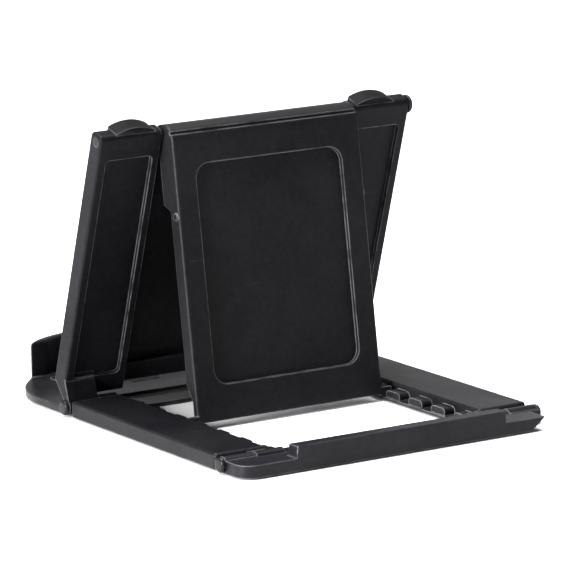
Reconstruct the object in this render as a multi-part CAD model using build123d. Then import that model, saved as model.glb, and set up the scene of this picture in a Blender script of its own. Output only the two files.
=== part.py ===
from build123d import *
import os
from math import cos, radians, sin

# Folding tablet stand.  A flat base carries a front ledge with an upturned lip, two
# side rails with notched racks, a back panel hinged at the front of the rails, a prop
# leg hinged at the top of the panel, and a rear flap that folds up over the packed
# panel.  Frame: +Z up, the tablet's side faces -Y, origin at the centre of the
# footprint on the desk.  Millimetres.

# ---- driving dimensions -------------------------------------------------------------
WIDTH = 70.0                 # base and panel, side to side
BASE_LENGTH = 92.3           # front of the lip to the back of the rear flap
FRONT_DEPTH = 30.0           # front of the lip to the panel's hinge axis
RAIL_SPAN = 55.0             # panel hinge axis to flap hinge axis
FOOT_PROUD = 0.3             # anti-slip feet stand this far below the base
BASE_THICKNESS = 3.0         # rails
PANEL_ANGLE = 73.0           # panel above horizontal in the working position
LEG_ANGLE = 25.5             # leg off the panel in the working position
PANEL_PIVOT_UP = 54.5        # lower hinge to upper hinge, along the panel
LEG_LENGTH = 54.7            # upper hinge axis to the leg's bottom edge

HALF = WIDTH / 2
FRONT_Y = -BASE_LENGTH / 2
REAR_Y = BASE_LENGTH / 2
HINGE_Y = FRONT_Y + FRONT_DEPTH
FLAP_Y = HINGE_Y + RAIL_SPAN
BASE_Z = FOOT_PROUD
RAIL_TOP = BASE_Z + BASE_THICKNESS
AXIS_Z = BASE_Z + BASE_THICKNESS / 2

# hinges
KNUCKLE_R = BASE_THICKNESS / 2
PIN_R = 0.8
RUN_CLEARANCE = 0.06
HEAD_R = 1.45
HEAD_THICKNESS = 0.9
EAR_INNER = 28.4             # moving outer knuckles run from here to the side face
FIXED_OUTER = 28.2           # fixed knuckles end here
FIXED_INNER = 24.0
SWEEP_GAP = 0.25             # air around a turning knuckle
WEB_RISE = 0.9               # webs behind the fixed knuckles, above the hinge axis
LONG_HEAD_R = 1.8            # head of the long pin through the leg

# front ledge
CORNER_R = 20.0
LEDGE_TOP = 1.7
LIP_HEIGHT = 9.0
LIP_THICKNESS = 2.0
LIP_DEPTH = 4.5              # how far back the lip wraps round the front corners
LEG_SLOT_FRONT = 3.6         # room ahead of the hinge for the leg's end as it swings
LEG_SLOT_FLOOR = 0.9         # thin floor left under that room
FRONT_BAR_END = 3.7          # the floor's rear edge, behind the hinge
PAD_SIZE = (19.0, 13.0)      # rubber strips let into the ledge
PAD_CENTRE = (15.5, -17.5)   # from the middle and from the hinge

# rails and racks
OPENING_HALF = 21.2
TOOTH_INNER = 21.6
TOOTH_OUTER = 24.0
SHELF_TOP = 0.9
TOOTH_TOP = 2.3
NOTCH_PITCH = 7.5
NOTCH_WIDTH = 3.0
NOTCH_REST = 23.8            # notch that holds the leg, behind the panel's hinge
NOTCHES_FORWARD = 2
NOTCHES_BEHIND = 3
RAIL_END = 52.8              # end of the rails behind the panel's hinge
TOOTH_ROUND = 0.9
RACK_SHORT = 1.8             # the racks stop this far before the rails' ends
REAR_BAR = 2.6               # cross bar that ties the rails at the back
REAR_BAR_TOP = 1.6
FLAP_KNUCKLE_INNER = 22.0

# rear flap
FLAP_TOP = 2.7
FLAP_GAP = 1.8               # hinge axis to the front edge of the bar
FLAP_CORNER = 3.2            # rounded corner at the +X end
NAIL_CUT = (28.2, 32.6)      # underside cut at the -X end, at the bottom and at the top
CLIP_HALF = 23.4
CLIP_TOP = 5.0

# back panel, in its own axes: x across, y up the panel, z out of its front face
PANEL_REAR = 1.7
PANEL_FRONT = 5.5
PANEL_TOP = 56.2
PIVOT_Z = 3.4
POCKET_HALF = 21.6
SKIN_REAR = 4.6
SKIN_TOP = 52.0
RIM = 1.8
INNER_RIM = 1.4
FIELD_DEPTH = 0.8            # sunk field in each upright
FIELD_SPAN = (5.0, 51.2)
LOWER_RAIL = (2.9, 6.0)      # back face and top of the bar along the panel's bottom
BEVEL_SLOPE = 0.68           # lower front bevel that lets the panel lean forward

# prop leg, in its own axes: x across, y up the leg, z towards the panel
LEG_HALF = 21.0
LEG_REAR = -4.4
LEG_PLATE = 2.2
LEG_BARREL_R = 1.9
LUG_LENGTH = 2.2
LUG_TOP = 53.3
LUG_THICKNESS = 1.2
LUG_BOTTOM = 55.0
INSET_WIDTH = 33.0           # shallow panel sunk into the leg's rear face
INSET_TOP = 6.0
INSET_BOTTOM = 48.0
INSET_DEPTH = 0.9
LEG_SHOULDER = 3.4           # rounded top rear edge
BEAD_GROOVE = (-0.1, 0.5)     # groove that sets off the bead along the top
GROOVE_DEPTH = 0.85
FLANGE = 1.4                 # side flanges, thickness
FLANGE_FRONT = -1.3
CHEEK_FRONT = 0.7            # deeper cheeks beside the hinge
CHEEK_BOTTOM = 13.5
PIP_DOWN = 15.5
PIP_R = 0.7

# rubber
PAD_THICKNESS = 0.7
PAD_PROUD = 0.2
FOOT_R = 3.2
FOOT_THICKNESS = 0.8
FOOT_FRONT = 14.0            # front feet, ahead of the panel's hinge
FOOT_REAR = 44.0             # rear feet, behind it
FRONT_FOOT_X = 24.0
REAR_FOOT_X = 29.5
BUMPER_HALF = 4.25
BUMPER_RISE = 1.1
BUMPER_REAR = 2.3
BUMPER_FRONT = 5.9
BUMPER_SEAT = 55.6           # top of the panel under the bumper
BUMPER_TONGUE = (50.0, 4.5)  # lowest point and back face of the part on the front
BUMPER_X = 27.1

PIN_HEAD_X = HALF + HEAD_THICKNESS


def block(x, y, z):
    """Box from three (low, high) pairs."""
    low = Vector(x[0], y[0], z[0])
    high = Vector(x[1], y[1], z[1])
    size = high - low
    return Pos(*((low + high) / 2)) * Box(size.X, size.Y, size.Z)


def rod(radius, x, y, z):
    """Cylinder along X between two x values."""
    return Pos((x[0] + x[1]) / 2, y, z) * Rot(0, 90, 0) * Cylinder(radius, x[1] - x[0])


def slab(points, x):
    """Closed (y, z) outline extruded along X between two x values."""
    outline = Polyline(*[(x[0], y, z) for y, z in points], close=True)
    return extrude(make_face(outline), amount=x[1] - x[0], dir=(1, 0, 0))


def both(shape):
    """A shape and its mirror image on the other side."""
    return shape + mirror(shape, about=Plane.YZ)


def pair(shape):
    """A shape and its mirror image, kept as two separate solids."""
    return Compound([*shape.solids(), *mirror(shape, about=Plane.YZ).solids()])


def panel_place():
    return Pos(0, HINGE_Y, AXIS_Z) * Rot(PANEL_ANGLE, 0, 0)


def leg_place():
    angle = radians(PANEL_ANGLE)
    y = HINGE_Y + PANEL_PIVOT_UP * cos(angle) - PIVOT_Z * sin(angle)
    z = AXIS_Z + PANEL_PIVOT_UP * sin(angle) + PIVOT_Z * cos(angle)
    return Pos(0, y, z) * Rot(PANEL_ANGLE + LEG_ANGLE, 0, 0)


def front_outline(inset):
    """Plan of the front ledge, rounded at both front corners, moved in by inset."""
    straight = HALF - CORNER_R
    corner_y = FRONT_Y + CORNER_R
    radius = CORNER_R - inset
    back = HINGE_Y
    plan = Pos(0, (FRONT_Y + inset + back) / 2) * Rectangle(2 * straight, back - FRONT_Y - inset)
    plan += Pos(0, (corner_y + back) / 2) * Rectangle(2 * (HALF - inset), back - corner_y)
    for side in (-straight, straight):
        plan += Pos(side, corner_y) * Circle(radius)
    return plan & Pos(0, (FRONT_Y + back) / 2) * Rectangle(WIDTH, back - FRONT_Y)


def raised(plan, bottom, top):
    return Pos(0, 0, bottom) * extrude(plan, amount=top - bottom)


def rack():
    """Teeth on the inner edge of the +X rail, with rounded tops."""
    start = HINGE_Y + SWEEP_GAP + KNUCKLE_R
    end = HINGE_Y + RAIL_END - RACK_SHORT
    teeth = block((TOOTH_INNER, TOOTH_OUTER), (start, end), (BASE_Z, TOOTH_TOP))
    for step in range(-NOTCHES_FORWARD, NOTCHES_BEHIND + 1):
        centre = HINGE_Y + NOTCH_REST + step * NOTCH_PITCH
        span = (centre - NOTCH_WIDTH / 2, centre + NOTCH_WIDTH / 2)
        teeth -= block((TOOTH_INNER - 1, TOOTH_OUTER + 1), span, (SHELF_TOP, RAIL_TOP))
    tops = teeth.edges().filter_by(Axis.X)
    tops = tops.filter_by_position(Axis.Z, TOOTH_TOP - 0.01, TOOTH_TOP + 0.01)
    return fillet(tops, TOOTH_ROUND)


def rail():
    """The +X rail: body, rack, shelf under the rack and the knuckle for the flap."""
    start = HINGE_Y + KNUCKLE_R + SWEEP_GAP + 0.6
    end = HINGE_Y + RAIL_END
    body = block((TOOTH_OUTER, HALF), (start, end), (BASE_Z, RAIL_TOP))
    body = fillet(body.edges().filter_by(Axis.Y).sort_by(Axis.Z)[-2:], 0.5)
    body = fillet(body.edges().filter_by(Axis.X).group_by(Axis.Y)[-1].sort_by(Axis.Z)[-1:], 0.9)
    shelf = block((OPENING_HALF, TOOTH_OUTER + 1), (HINGE_Y + FRONT_BAR_END, end),
                  (BASE_Z, SHELF_TOP))
    flap_across = (FLAP_KNUCKLE_INNER, FIXED_OUTER)
    knuckle = rod(KNUCKLE_R, flap_across, FLAP_Y, AXIS_Z)
    root = block(flap_across, (end - 1.5, FLAP_Y), (BASE_Z, AXIS_Z + WEB_RISE))
    neck = block((FIXED_INNER, FIXED_OUTER), (HINGE_Y - 4, start + 1), (BASE_Z, LEDGE_TOP))
    neck += block((FIXED_INNER, FIXED_OUTER), (HINGE_Y, start + 1), (BASE_Z, AXIS_Z + WEB_RISE))
    neck += rod(KNUCKLE_R, (FIXED_INNER, FIXED_OUTER), HINGE_Y, AXIS_Z)
    return body + rack() + shelf + knuckle + root + neck


def base_frame():
    ledge = raised(front_outline(0), BASE_Z, LEDGE_TOP)
    ear_slot_y = (HINGE_Y - KNUCKLE_R - SWEEP_GAP - 0.3, HINGE_Y + 5)
    ledge -= both(block((FIXED_OUTER, HALF + 1), ear_slot_y, (0, RAIL_TOP)))
    leg_slot_y = (HINGE_Y - LEG_SLOT_FRONT, HINGE_Y + 5)
    ledge -= block((-FIXED_INNER, FIXED_INNER), leg_slot_y, (LEG_SLOT_FLOOR, RAIL_TOP))
    lip = raised(front_outline(0) - front_outline(LIP_THICKNESS), BASE_Z, LIP_HEIGHT)
    lip &= block((-HALF, HALF), (FRONT_Y - 1, FRONT_Y + LIP_DEPTH), (0, LIP_HEIGHT + 1))
    lip = fillet(lip.edges().group_by(Axis.Z)[-1], 0.8)
    frame = ledge + lip + both(rail())
    front_bar_y = (HINGE_Y - LEG_SLOT_FRONT, HINGE_Y + FRONT_BAR_END)
    frame += block((-FIXED_INNER, FIXED_INNER), front_bar_y, (BASE_Z, LEG_SLOT_FLOOR))
    rear_bar_y = (HINGE_Y + RAIL_END - REAR_BAR, HINGE_Y + RAIL_END)
    frame += block((-TOOTH_OUTER, TOOTH_OUTER), rear_bar_y, (BASE_Z, REAR_BAR_TOP))
    pin_hole = rod(PIN_R, (FIXED_INNER - 3, HALF + 1), HINGE_Y, AXIS_Z)
    pin_hole += rod(PIN_R, (FLAP_KNUCKLE_INNER - 2, HALF + 1), FLAP_Y, AXIS_Z)
    frame -= both(pin_hole)
    frame -= feet_recess()
    frame -= ledge_recess()
    return frame


def foot_spots():
    """Centres of the round feet under the base."""
    front = [(x, HINGE_Y - FOOT_FRONT) for x in (-FRONT_FOOT_X, FRONT_FOOT_X)]
    return front + [(x, HINGE_Y + FOOT_REAR) for x in (-REAR_FOOT_X, REAR_FOOT_X)]


def foot(x, y, radius, top):
    return Pos(x, y, top / 2) * Cylinder(radius, top)


def feet_recess():
    return Compound([foot(x, y, FOOT_R, FOOT_THICKNESS) for x, y in foot_spots()])


def base_feet():
    feet = [fillet(foot(x, y, FOOT_R, FOOT_THICKNESS).edges().sort_by(Axis.Z)[0], 0.2)
            for x, y in foot_spots()]
    return Compound(feet)


def ledge_pad(top):
    """One rubber strip that the tablet's edge rests on, +X side."""
    bottom = LEDGE_TOP + PAD_PROUD - PAD_THICKNESS
    plan = Pos(PAD_CENTRE[0], HINGE_Y + PAD_CENTRE[1]) * RectangleRounded(*PAD_SIZE, 2)
    return raised(plan, bottom, top)


def ledge_recess():
    return both(ledge_pad(LEDGE_TOP + 1))


def ledge_pads():
    return pair(ledge_pad(LEDGE_TOP + PAD_PROUD))


def headed_pin(x, y, z):
    """Hinge pin pushed in from the +X side, from x inwards to its domed head."""
    shank = rod(PIN_R, (x, HALF + 0.1), y, z)
    head = rod(HEAD_R, (HALF + 0.1, PIN_HEAD_X), y, z)
    head = fillet(head.edges().sort_by(Axis.X)[-1], 0.5)
    return shank + head


def panel_hinge_pins():
    return pair(headed_pin(FIXED_INNER, HINGE_Y, AXIS_Z))


def flap_hinge_pins():
    return pair(headed_pin(FLAP_KNUCKLE_INNER, FLAP_Y, AXIS_Z))


def panel_ear():
    """Outer knuckle of the panel on the +X side, drawn in panel axes."""
    profile = [(0.0, -KNUCKLE_R), (4.6, PANEL_REAR), (7.0, 3.4), (2.5, 3.4), (1.0, 1.3)]
    web = slab(profile, (EAR_INNER, HALF))
    return web + rod(KNUCKLE_R, (EAR_INNER, HALF), 0, 0)


def panel_stile():
    """The +X upright of the panel with its raised rims, in panel axes."""
    low_rear = BEVEL_SLOPE * PANEL_REAR + 0.1
    low_front = BEVEL_SLOPE * PANEL_FRONT + 0.1
    profile = [(low_rear, PANEL_REAR), (PANEL_TOP, PANEL_REAR), (PANEL_TOP, PANEL_FRONT),
               (low_front, PANEL_FRONT)]
    stile = slab(profile, (POCKET_HALF, HALF))
    stile = fillet(stile.edges().filter_by(Axis.X).group_by(Axis.Y)[-1], 1.1)
    stile = fillet(stile.edges().filter_by(Axis.Y).sort_by(Axis.X)[-2:], 0.5)
    field = block((POCKET_HALF + INNER_RIM, HALF - RIM), FIELD_SPAN, (0, PANEL_REAR + FIELD_DEPTH))
    field = fillet(field.edges().filter_by(Axis.Z), 1.0)
    return stile - field


def bumper():
    """Rubber cap that arches over the panel's top edge and down its front, +X side."""
    across = (BUMPER_X - BUMPER_HALF, BUMPER_X + BUMPER_HALF)
    low, back = BUMPER_TONGUE
    radius = (BUMPER_HALF ** 2 + BUMPER_RISE ** 2) / (2 * BUMPER_RISE)
    middle = (BUMPER_REAR + BUMPER_FRONT) / 2
    arch = Pos(BUMPER_X, PANEL_TOP + BUMPER_RISE - radius, middle)
    arch *= Cylinder(radius, BUMPER_FRONT - BUMPER_REAR)
    cap = arch & block(across, (BUMPER_SEAT, PANEL_TOP + 4), (BUMPER_REAR, BUMPER_FRONT))
    tongue = block(across, (low, BUMPER_SEAT), (back, BUMPER_FRONT))
    shape = cap + tongue
    return fillet(shape.edges().filter_by(Axis.Y).group_by(Axis.Z)[-1], 0.4)


def bumper_seat():
    across = (BUMPER_X - BUMPER_HALF, BUMPER_X + BUMPER_HALF)
    low, back = BUMPER_TONGUE
    top = PANEL_TOP + 1
    seat = block(across, (BUMPER_SEAT, top), (BUMPER_REAR, BUMPER_FRONT + 1))
    return seat + block(across, (low, top), (back, BUMPER_FRONT + 1))


def back_panel():
    skin = slab([(BEVEL_SLOPE * SKIN_REAR + 0.1, SKIN_REAR), (SKIN_TOP, SKIN_REAR),
                 (SKIN_TOP, PANEL_FRONT), (BEVEL_SLOPE * PANEL_FRONT + 0.1, PANEL_FRONT)],
                (-POCKET_HALF, POCKET_HALF))
    back, top = LOWER_RAIL
    lower_rail = slab([(BEVEL_SLOPE * back + 0.1, back), (top, back), (top, SKIN_REAR),
                       (BEVEL_SLOPE * SKIN_REAR + 0.1, SKIN_REAR)], (-POCKET_HALF, POCKET_HALF))
    panel = both(panel_stile() + panel_ear()) + skin + lower_rail
    lower_hole = rod(PIN_R + RUN_CLEARANCE, (EAR_INNER - 1, HALF + 1), 0, 0)
    upper_hole = rod(PIN_R, (POCKET_HALF - 1, HALF + 1), PANEL_PIVOT_UP, PIVOT_Z)
    panel -= both(lower_hole + upper_hole + bumper_seat())
    return panel_place() * panel


def top_bumpers():
    return panel_place() * pair(bumper())


def leg_hinge_pin():
    """Long pin through the top of the panel and the leg, pushed in from the -X side."""
    pin = rod(PIN_R, (-HALF - 0.1, HALF), PANEL_PIVOT_UP, PIVOT_Z)
    head = rod(LONG_HEAD_R, (-PIN_HEAD_X, -HALF - 0.1), PANEL_PIVOT_UP, PIVOT_Z)
    head = fillet(head.edges().sort_by(Axis.X)[0], 0.5)
    return panel_place() * (pin + head)


def prop_leg():
    across = (-LEG_HALF, LEG_HALF)
    front = LEG_REAR + LEG_PLATE
    thin = LEG_REAR + LUG_THICKNESS + 0.2
    plate = slab([(LEG_BARREL_R, LEG_REAR), (-LEG_LENGTH, LEG_REAR), (-LEG_LENGTH, thin),
                  (-50.5, thin), (-49, front), (-LEG_BARREL_R, front), (-LEG_BARREL_R, 0),
                  (LEG_BARREL_R, 0)], across)
    shoulder = plate.edges().filter_by(Axis.X).sort_by(Axis.Y)[-2:].sort_by(Axis.Z)[0]
    plate = fillet(shoulder, LEG_SHOULDER)
    leg = plate + rod(LEG_BARREL_R, across, 0, 0)
    leg = fillet(leg.edges().filter_by(Axis.Y).group_by(Axis.Z)[0], 0.5)
    side = (LEG_HALF - FLANGE, LEG_HALF)
    flange = slab([(-LEG_BARREL_R, front - 0.1), (-4, FLANGE_FRONT), (-47, FLANGE_FRONT),
                   (-49, front - 0.1)], side)
    cheek = slab([(0, front - 0.1), (0, CHEEK_FRONT), (-CHEEK_BOTTOM, CHEEK_FRONT),
                  (-CHEEK_BOTTOM - 1.5, front - 0.1)], side)
    lug = block((LEG_HALF - 0.6, LEG_HALF + LUG_LENGTH), (-LUG_BOTTOM, -LUG_TOP),
                (LEG_REAR, LEG_REAR + LUG_THICKNESS))
    pip = rod(PIP_R, (LEG_HALF - 0.5, LEG_HALF + 0.3), -PIP_DOWN, LEG_REAR + 1.1)
    leg += both(flange + cheek + lug + pip)
    inset = RectangleRounded(INSET_WIDTH, INSET_BOTTOM - INSET_TOP, 3)
    inset_centre = -(INSET_TOP + INSET_BOTTOM) / 2
    leg -= Pos(0, inset_centre, LEG_REAR - 1) * extrude(inset, amount=1 + INSET_DEPTH)
    leg -= block((-HALF, HALF), BEAD_GROOVE, (LEG_REAR - 1, LEG_REAR + GROOVE_DEPTH))
    leg -= rod(PIN_R + RUN_CLEARANCE, (-HALF, HALF), 0, 0)
    return leg_place() * leg


def rear_flap():
    bar = slab([(FLAP_Y + FLAP_GAP, BASE_Z), (REAR_Y, BASE_Z), (REAR_Y, FLAP_TOP),
                (FLAP_Y + FLAP_GAP, FLAP_TOP)], (-HALF, HALF))
    clip = slab([(REAR_Y - 3.4, 1.0), (REAR_Y - 2.9, CLIP_TOP), (REAR_Y, CLIP_TOP),
                 (REAR_Y, 1.0)], (-CLIP_HALF, CLIP_HALF))
    knuckle = rod(KNUCKLE_R, (EAR_INNER, HALF), FLAP_Y, AXIS_Z)
    knuckle += block((EAR_INNER, HALF), (FLAP_Y, FLAP_Y + 2.5), (BASE_Z, FLAP_TOP))
    corner = bar.edges().filter_by(Axis.Z).group_by(Axis.Y)[-1].sort_by(Axis.X)[-1]
    flap = fillet(corner, FLAP_CORNER) + clip + both(knuckle)
    bottom, top = NAIL_CUT
    nail_cut = Polyline((-HALF - 1, BASE_Z - 1), (-bottom, BASE_Z - 1), (-top, FLAP_TOP + 0.1),
                        (-HALF - 1, FLAP_TOP + 0.1), close=True)
    cut = Plane.XZ.offset(-(FLAP_Y + 2.5)) * make_face(nail_cut)
    flap -= extrude(cut, amount=-10)
    flap -= both(rod(PIN_R + RUN_CLEARANCE, (EAR_INNER - 1, HALF + 1), FLAP_Y, AXIS_Z))
    return flap


PARTS = {
    "base_frame": base_frame,
    "base_feet": base_feet,
    "ledge_pads": ledge_pads,
    "panel_hinge_pins": panel_hinge_pins,
    "back_panel": back_panel,
    "top_bumpers": top_bumpers,
    "leg_hinge_pin": leg_hinge_pin,
    "prop_leg": prop_leg,
    "rear_flap": rear_flap,
    "flap_hinge_pins": flap_hinge_pins,
}

os.makedirs("parts", exist_ok=True)
for name, make in PARTS.items():
    export_step(make(), f"parts/{name}.step")
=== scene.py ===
import math
import bmesh
import bpy
from mathutils import Matrix, Vector

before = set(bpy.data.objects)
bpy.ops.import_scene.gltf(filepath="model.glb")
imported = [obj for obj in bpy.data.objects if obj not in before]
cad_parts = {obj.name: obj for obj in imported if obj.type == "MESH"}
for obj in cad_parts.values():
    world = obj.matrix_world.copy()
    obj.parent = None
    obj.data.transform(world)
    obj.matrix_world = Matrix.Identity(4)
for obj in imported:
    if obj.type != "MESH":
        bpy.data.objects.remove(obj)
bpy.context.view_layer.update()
MM = 0.001

# ---- rounded edges -----------------------------------------------------------------------
# The radius in mm of each CAD node's rounded edges.
EDGE_RADIUS = {
    "base_frame": 0.2,
    "back_panel": 0.2,
    "prop_leg": 0.22,
    "rear_flap": 0.2,
    "top_bumpers": 0.25,
    "ledge_pads": 0.12,
    "base_feet": 0.1,
    "panel_hinge_pins": 0.08,
    "flap_hinge_pins": 0.08,
    "leg_hinge_pin": 0.08,
}
WELD = 0.002 * MM                           # vertices closer than this are one
CORNER_TURN = math.radians(3)               # faces meeting at less than this are one surface
ROUND_TURNS = math.radians(50), math.radians(125)       # edges turning this much are rounded
CRISP_TURN = math.radians(32)               # other edges turning more than this are shaded crisp
CORNER_EDGES = 2, 3                         # edges that may meet where a rounded edge ends
ROOM = 3.2                                  # shortest edge next to a rounded one, in radii
ROUND_STEPS = 3
FACE_WEIGHT = 60                            # over 50, large faces have more say in the shading
PLACE_DIGITS = 7                            # digits of a metre that tell two places apart

# ---- surfaces ----------------------------------------------------------------------------
# Noise patterns: scale per metre, detail, roughness, distortion.
CLOUDS = 55.0, 5.0, 0.6, 0.4                # flow marks of the moulding
MOTTLE = 900.0, 3.0, 0.55, 0.0              # fine unevenness of the tone
# Patches along the edges, where they are worn and carry a painted highlight.
WEAR_HIGHLIGHT_PATCHES = 260.0, 6.0, 0.65, 0.0
HANDLING = 34.0, 4.0, 0.5, 0.6              # duller and glossier areas
SHRINKAGE = 130.0, 2.0, 0.55, 0.0           # slow ripple of the faces
HAIRLINES = 1.0, 3.0, 0.55, 0.0             # on stretched coordinates
FLOOR_CLOUDS = 9.0, 5.0, 0.55, 0.0

# The part of each pattern's range that is spread over its effect.
CLOUD_SPAN = 0.3, 0.72
MOTTLE_SPAN = 0.35, 0.68
PATCH_SPAN = 0.36, 0.56
HANDLING_SPAN = 0.3, 0.7
HAIRLINE_SPAN = 0.70, 0.80
FLOOR_SPAN = 0.3, 0.7

MOTTLE_SHARE = 0.38                         # of the tone, the rest is clouds
WEAR_HIGHLIGHT_REACH = 0.36                           # mm from an edge, for the edge wear and painted edge highlight
WEAR_HIGHLIGHT_SAMPLES = 6
WEAR_HIGHLIGHT_TURN = 0.995, 0.90                     # cosine of the bent normal, from no edge mark to full wear and painted highlight
WEAR_HIGHLIGHT_FLOOR = 0.25                           # wear and painted highlight left between the patches
WEAR_HIGHLIGHT_GAIN, WEAR_HIGHLIGHT_LIFT = 3.2, 0.085           # from the pale tone to the lighter edge tone, partly wear, partly painted highlight
WEAR_HIGHLIGHT_POLISH = 0.12                          # roughness lost along the edge mark of wear and painted highlight
SCUFF_TURN = 0.4, 0.9, 0.35
SCUFF_STRETCH = 60.0, 2600.0, 900.0
SCUFF_STRENGTH = 0.14
ROUGH_BELOW, ROUGH_ABOVE = 0.06, 0.07       # the roughness wanders this far
REFRACTION = 1.49
GLEAM = 0.13                                # specular level
PIT_BLEND = 0.7                             # softness of the grain's pits
FINE_GRAIN = 1.7, 5.0, 0.6                  # scale against the pits', detail, roughness
RIPPLE_HEIGHT = 0.05 * MM
SHEEN_ROUGHNESS = 0.5

# The dark and the pale colour that a surface's tone wanders between.
FRAME_TONES = (0.0024, 0.0024, 0.0033), (0.0074, 0.0074, 0.0088)
LEG_TONES = (0.0025, 0.0025, 0.0031), (0.0076, 0.0076, 0.0086)
FLAP_TONES = (0.0045, 0.0045, 0.0062), (0.0100, 0.0100, 0.0125)
PIN_TONES = (0.0045, 0.0045, 0.0052), (0.0095, 0.0095, 0.0105)
CAP_TONES = (0.0024, 0.0024, 0.0029), (0.0056, 0.0056, 0.0065)
FOOT_TONES = (0.0055, 0.0055, 0.0058), (0.0110, 0.0110, 0.0115)
FLOOR_TONES = (0.80, 0.80, 0.81), (0.83, 0.83, 0.84)
FLOOR_ROUGHNESS = 0.55

# ---- studio ------------------------------------------------------------------------------
FLOOR_HALF = 6.0

# The area lights: place, point aimed at, width and depth, watts.
LIGHTS = {
    "overhead": ((0.05, -0.1, 0.9), (0, 0, 0.02), (0.8, 0.6), 26.0),
    "side": ((0.95, 0.12, 0.26), (0, 0, 0.02), (0.4, 0.3), 32.0),
    "far": ((-0.55, -0.75, 0.32), (0, 0, 0.03), (0.6, 0.3), 0.7),
}
SKY_COLOUR = (0.95, 0.97, 1.0, 1)
SKY_LIGHT, SKY_SEEN = 0.15, 1.0             # strength as a light, and as seen by the camera

# The camera stands behind the stand, on its +X side and a little above it.
CAMERA_PLACE = Vector((0.50275, 0.77245, 0.2204))
CAMERA_UPRIGHT = Vector((-0.0756, -0.0963, 0.9924))
CAMERA_AIM = Vector((-0.0032, 0.0021, 0.0240))
LENS_MM, SENSOR_MM = 312.0, 36.0
CLIP_NEAR, CLIP_FAR = 0.01, 50.0


class Graph:
    """Shorthands for adding nodes to a node tree."""

    def __init__(self, tree):
        self.nodes, self.links = tree.nodes, tree.links

    def node(self, kind, inputs, **settings):
        """A new node. Each input is a value to set or another node's output to link."""
        node = self.nodes.new(kind)
        for name, value in settings.items():
            setattr(node, name, value)
        for socket, value in inputs.items():
            if isinstance(value, bpy.types.NodeSocket):
                self.links.new(value, node.inputs[socket])
            else:
                node.inputs[socket].default_value = value
        return node

    def coords(self):
        return self.node("ShaderNodeTexCoord", {}).outputs["Object"]

    def noise(self, coords, scale, detail, roughness, distortion):
        inputs = {"Vector": coords, "Scale": scale, "Detail": detail,
                  "Roughness": roughness, "Distortion": distortion}
        return self.node("ShaderNodeTexNoise", inputs).outputs["Fac"]

    def spread(self, value, low, high, to_low=0.0, to_high=1.0):
        """Takes low to to_low and high to to_high, smoothly in between."""
        inputs = {"Value": value, "From Min": low, "From Max": high, "To Min": to_low, "To Max": to_high}
        return self.node("ShaderNodeMapRange", inputs, interpolation_type="SMOOTHSTEP").outputs["Result"]

    def math(self, operation, a, b, clamp=False):
        return self.node("ShaderNodeMath", {0: a, 1: b}, operation=operation, use_clamp=clamp).outputs[0]

    def mix(self, factor, a, b):
        """The colour between a and b, each an output or three numbers."""
        a, b = ((*c, 1.0) if isinstance(c, tuple) else c for c in (a, b))
        return self.node("ShaderNodeMix", {0: factor, 6: a, 7: b}, data_type="RGBA").outputs[2]


def new_material(name):
    """A material, its graph and its surface shader."""
    material = bpy.data.materials.new(name)
    material.use_nodes = True
    material.node_tree.nodes.clear()
    graph = Graph(material.node_tree)
    surface = graph.node("ShaderNodeBsdfPrincipled", {})
    graph.node("ShaderNodeOutputMaterial", {"Surface": surface.outputs[0]})
    return material, graph, surface


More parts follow.
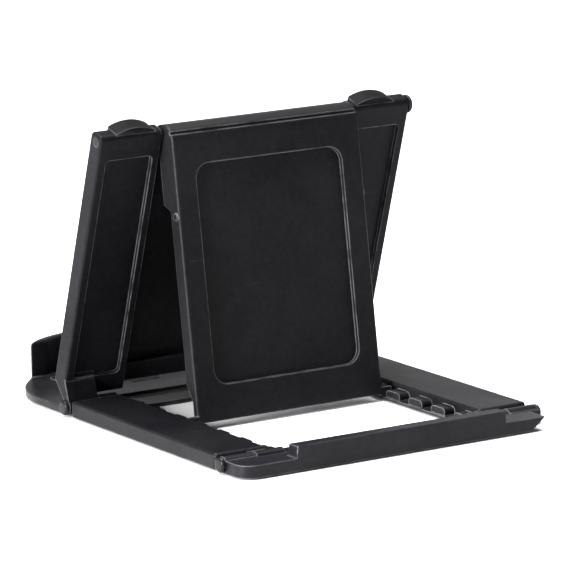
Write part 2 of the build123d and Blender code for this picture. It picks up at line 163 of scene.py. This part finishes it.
def moulding(name, tones, rough, grain, grain_height, wear_highlight_strength, gleam=GLEAM, sheen=0.0):
    """Moulded black plastic or rubber: pitted grain, cloudy tone, scuffs, and edges lightened partly by
    wear, partly by a painted highlight.
    """
    material, graph, surface = new_material(name)
    coords = graph.coords()
    dark, pale = tones

    # Tone: broad clouds and a finer mottle.
    clouds = graph.spread(graph.noise(coords, *CLOUDS), *CLOUD_SPAN)
    mottle = graph.spread(graph.noise(coords, *MOTTLE), *MOTTLE_SPAN)
    clouds = graph.math("MULTIPLY", clouds, 1.0 - MOTTLE_SHARE)
    mottle = graph.math("MULTIPLY", mottle, MOTTLE_SHARE)
    body = graph.mix(graph.math("ADD", clouds, mottle), dark, pale)

    # Edges, worn and given a painted highlight: where a rounded normal leaves the face's own normal, the
    # tone turns lighter, partly as wear, partly as painted highlight.
    reach = {"Radius": WEAR_HIGHLIGHT_REACH * MM}
    rounded = graph.node("ShaderNodeBevel", reach, samples=WEAR_HIGHLIGHT_SAMPLES).outputs["Normal"]
    face = graph.node("ShaderNodeNewGeometry", {}).outputs["Normal"]
    bent = graph.node("ShaderNodeVectorMath", {0: rounded, 1: face}, operation="DOT_PRODUCT")
    turned = graph.spread(bent.outputs["Value"], *WEAR_HIGHLIGHT_TURN)
    patchy = graph.spread(graph.noise(coords, *WEAR_HIGHLIGHT_PATCHES), *PATCH_SPAN, WEAR_HIGHLIGHT_FLOOR, 1.0)
    wear_and_highlight = graph.math("MULTIPLY", graph.math("MULTIPLY", turned, patchy), wear_highlight_strength, clamp=True)
    # The lighter edge tone: partly wear, partly a painted highlight; the scuffs use it too.
    wear_and_highlight_tone = tuple(WEAR_HIGHLIGHT_GAIN * c + WEAR_HIGHLIGHT_LIFT for c in pale)
    body = graph.mix(wear_and_highlight, body, wear_and_highlight_tone)

    # Fine scuffs: sparse hairlines.
    stretch = {"Vector": coords, "Rotation": SCUFF_TURN, "Scale": SCUFF_STRETCH}
    stretched = graph.node("ShaderNodeMapping", stretch).outputs[0]
    scuffs = graph.spread(graph.noise(stretched, *HAIRLINES), *HAIRLINE_SPAN)
    body = graph.mix(graph.math("MULTIPLY", scuffs, SCUFF_STRENGTH), body, wear_and_highlight_tone)
    graph.links.new(body, surface.inputs["Base Color"])

    # Gloss: cloudy on the faces, smoother along the edges of wear and painted highlight.
    handling = graph.noise(coords, *HANDLING)
    gloss = graph.spread(handling, *HANDLING_SPAN, rough - ROUGH_BELOW, rough + ROUGH_ABOVE)
    gloss = graph.math("SUBTRACT", gloss, graph.math("MULTIPLY", wear_and_highlight, WEAR_HIGHLIGHT_POLISH))
    graph.links.new(gloss, surface.inputs["Roughness"])
    surface.inputs["IOR"].default_value = REFRACTION
    surface.inputs["Specular IOR Level"].default_value = gleam
    surface.inputs["Sheen Weight"].default_value = sheen
    surface.inputs["Sheen Roughness"].default_value = SHEEN_ROUGHNESS

    # Height: pits with finer grain between them, and a slow ripple from shrinkage.
    cells = {"Vector": coords, "Scale": grain, "Smoothness": PIT_BLEND}
    pits = graph.node("ShaderNodeTexVoronoi", cells, feature="SMOOTH_F1").outputs["Distance"]
    finer, detail, roughness = FINE_GRAIN
    fine = graph.noise(coords, grain * finer, detail, roughness, 0.0)
    grained = {"Strength": 1.0, "Distance": grain_height * MM, "Height": graph.math("ADD", pits, fine),
               "Normal": rounded}
    bumps = graph.node("ShaderNodeBump", grained).outputs["Normal"]
    rippled = {"Strength": 1.0, "Distance": RIPPLE_HEIGHT, "Height": graph.noise(coords, *SHRINKAGE),
               "Normal": bumps}
    graph.links.new(graph.node("ShaderNodeBump", rippled).outputs["Normal"], surface.inputs["Normal"])
    return material


def floor_material():
    material, graph, surface = new_material("floor_pale")
    tone = graph.spread(graph.noise(graph.coords(), *FLOOR_CLOUDS), *FLOOR_SPAN)
    graph.links.new(graph.mix(tone, *FLOOR_TONES), surface.inputs["Base Color"])
    surface.inputs["Roughness"].default_value = FLOOR_ROUGHNESS
    return material


def place_of(vertex):
    return tuple(round(c, PLACE_DIGITS) for c in vertex.co)


def mark_edges(mesh, radius):
    """Weights the sharp edges that have room to be rounded, and marks the other sharp ones."""
    solid = bmesh.new()
    solid.from_mesh(mesh)
    bmesh.ops.remove_doubles(solid, verts=solid.verts, dist=WELD)

    def turn(edge):
        return abs(edge.calc_face_angle(0.0))

    def roomy(vertex):
        sharp = [edge for edge in vertex.link_edges if turn(edge) > CORNER_TURN]
        return len(sharp) in CORNER_EDGES and all(edge.calc_length() > ROOM * radius for edge in sharp)

    least, most = ROUND_TURNS
    rounded, crisp = set(), set()
    for edge in solid.edges:
        ends = frozenset(place_of(vertex) for vertex in edge.verts)
        if least < turn(edge) < most and all(roomy(vertex) for vertex in edge.verts):
            rounded.add(ends)
        elif turn(edge) > CRISP_TURN:
            crisp.add(ends)
    solid.free()

    places = [place_of(vertex) for vertex in mesh.vertices]
    edges = [frozenset(places[i] for i in edge.vertices) for edge in mesh.edges]
    weights = mesh.attributes.new("bevel_weight_edge", "FLOAT", "EDGE")
    weights.data.foreach_set("value", [float(edge in rounded) for edge in edges])
    if "sharp_edge" not in mesh.attributes:
        mesh.attributes.new("sharp_edge", "BOOLEAN", "EDGE")
    mesh.attributes["sharp_edge"].data.foreach_set("value", [edge in crisp for edge in edges])


def soften(node, radius):
    """Rounds the edges of a CAD node, by modifiers only."""
    mesh = node.data
    if "custom_normal" in mesh.attributes:
        mesh.attributes.remove(mesh.attributes["custom_normal"])
    mesh.polygons.foreach_set("use_smooth", [True] * len(mesh.polygons))
    mark_edges(mesh, radius)
    weld = node.modifiers.new("weld", "WELD")
    weld.merge_threshold = WELD
    bevel = node.modifiers.new("bevel", "BEVEL")
    bevel.width = radius
    bevel.segments = ROUND_STEPS
    bevel.limit_method = "WEIGHT"
    bevel.use_clamp_overlap = False
    bevel.harden_normals = True
    normals = node.modifiers.new("normals", "WEIGHTED_NORMAL")
    normals.keep_sharp = True
    normals.weight = FACE_WEIGHT


def floor():
    """A wide flat sheet under the stand."""
    mesh = bpy.data.meshes.new("floor")
    corners = [(x * FLOOR_HALF, y * FLOOR_HALF, 0) for x, y in ((-1, -1), (1, -1), (1, 1), (-1, 1))]
    mesh.from_pydata(corners, [], [(0, 1, 2, 3)])
    sheet = bpy.data.objects.new("floor", mesh)
    sheet.data.materials.append(floor_material())
    bpy.context.scene.collection.objects.link(sheet)


def area_light(name, place, aim, size, watts):
    light = bpy.data.lights.new(name, "AREA")
    light.shape = "RECTANGLE"
    light.size, light.size_y = size
    light.energy = watts
    lamp = bpy.data.objects.new(name, light)
    lamp.location = place
    lamp.rotation_euler = (Vector(aim) - Vector(place)).to_track_quat("-Z", "Y").to_euler()
    bpy.context.scene.collection.objects.link(lamp)


def studio():
    """Soft lights, in white surroundings that add little light of their own."""
    world = bpy.data.worlds.new("studio")
    bpy.context.scene.world = world
    world.use_nodes = True
    graph = Graph(world.node_tree)
    sky = graph.nodes["Background"]
    seen = graph.node("ShaderNodeLightPath", {}).outputs["Is Camera Ray"]
    sky.inputs["Color"].default_value = SKY_COLOUR
    graph.links.new(graph.spread(seen, 0.0, 1.0, SKY_LIGHT, SKY_SEEN), sky.inputs["Strength"])
    for name, settings in LIGHTS.items():
        area_light(name, *settings)
    bpy.context.scene.view_settings.view_transform = "Standard"


def camera():
    """A long lens, aimed at the middle of the stand."""
    ahead = (CAMERA_AIM - CAMERA_PLACE).normalized()
    right = ahead.cross(CAMERA_UPRIGHT).normalized()
    up = right.cross(ahead)
    lens = bpy.data.cameras.new("camera")
    lens.lens, lens.sensor_width = LENS_MM, SENSOR_MM
    lens.clip_start, lens.clip_end = CLIP_NEAR, CLIP_FAR
    viewer = bpy.data.objects.new("camera", lens)
    turn = Matrix((right, up, -ahead)).transposed().to_4x4()
    viewer.matrix_world = Matrix.Translation(CAMERA_PLACE) @ turn
    bpy.context.scene.collection.objects.link(viewer)
    bpy.context.scene.camera = viewer


# Each surface's name, tones, roughness, grain per metre, grain height in mm and the strength of its edge
# wear and painted edge highlight.
cap_rubber = moulding("cap_rubber", CAP_TONES, 0.55, 3000.0, 0.02, 0.7, gleam=0.05)
pin_plastic = moulding("pin_plastic", PIN_TONES, 0.3, 4200.0, 0.006, 0.6)
MATERIALS = {
    "base_frame": moulding("base_plastic", FRAME_TONES, 0.42, 2300.0, 0.028, 0.95),
    "back_panel": moulding("panel_plastic", FRAME_TONES, 0.44, 2300.0, 0.028, 0.95, gleam=0.065),
    "prop_leg": moulding("leg_plastic", LEG_TONES, 0.46, 2200.0, 0.030, 0.95),
    "rear_flap": moulding("flap_plastic", FLAP_TONES, 0.42, 2300.0, 0.028, 0.95),
    "panel_hinge_pins": pin_plastic,
    "flap_hinge_pins": pin_plastic,
    "leg_hinge_pin": pin_plastic,
    "top_bumpers": cap_rubber,
    "ledge_pads": cap_rubber,
    "base_feet": moulding("foot_rubber", FOOT_TONES, 0.7, 3000.0, 0.02, 0.3, sheen=0.1),
}

for name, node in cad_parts.items():
    node.data.materials.clear()
    node.data.materials.append(MATERIALS[name])
    soften(node, EDGE_RADIUS[name] * MM)

floor()
studio()
camera()
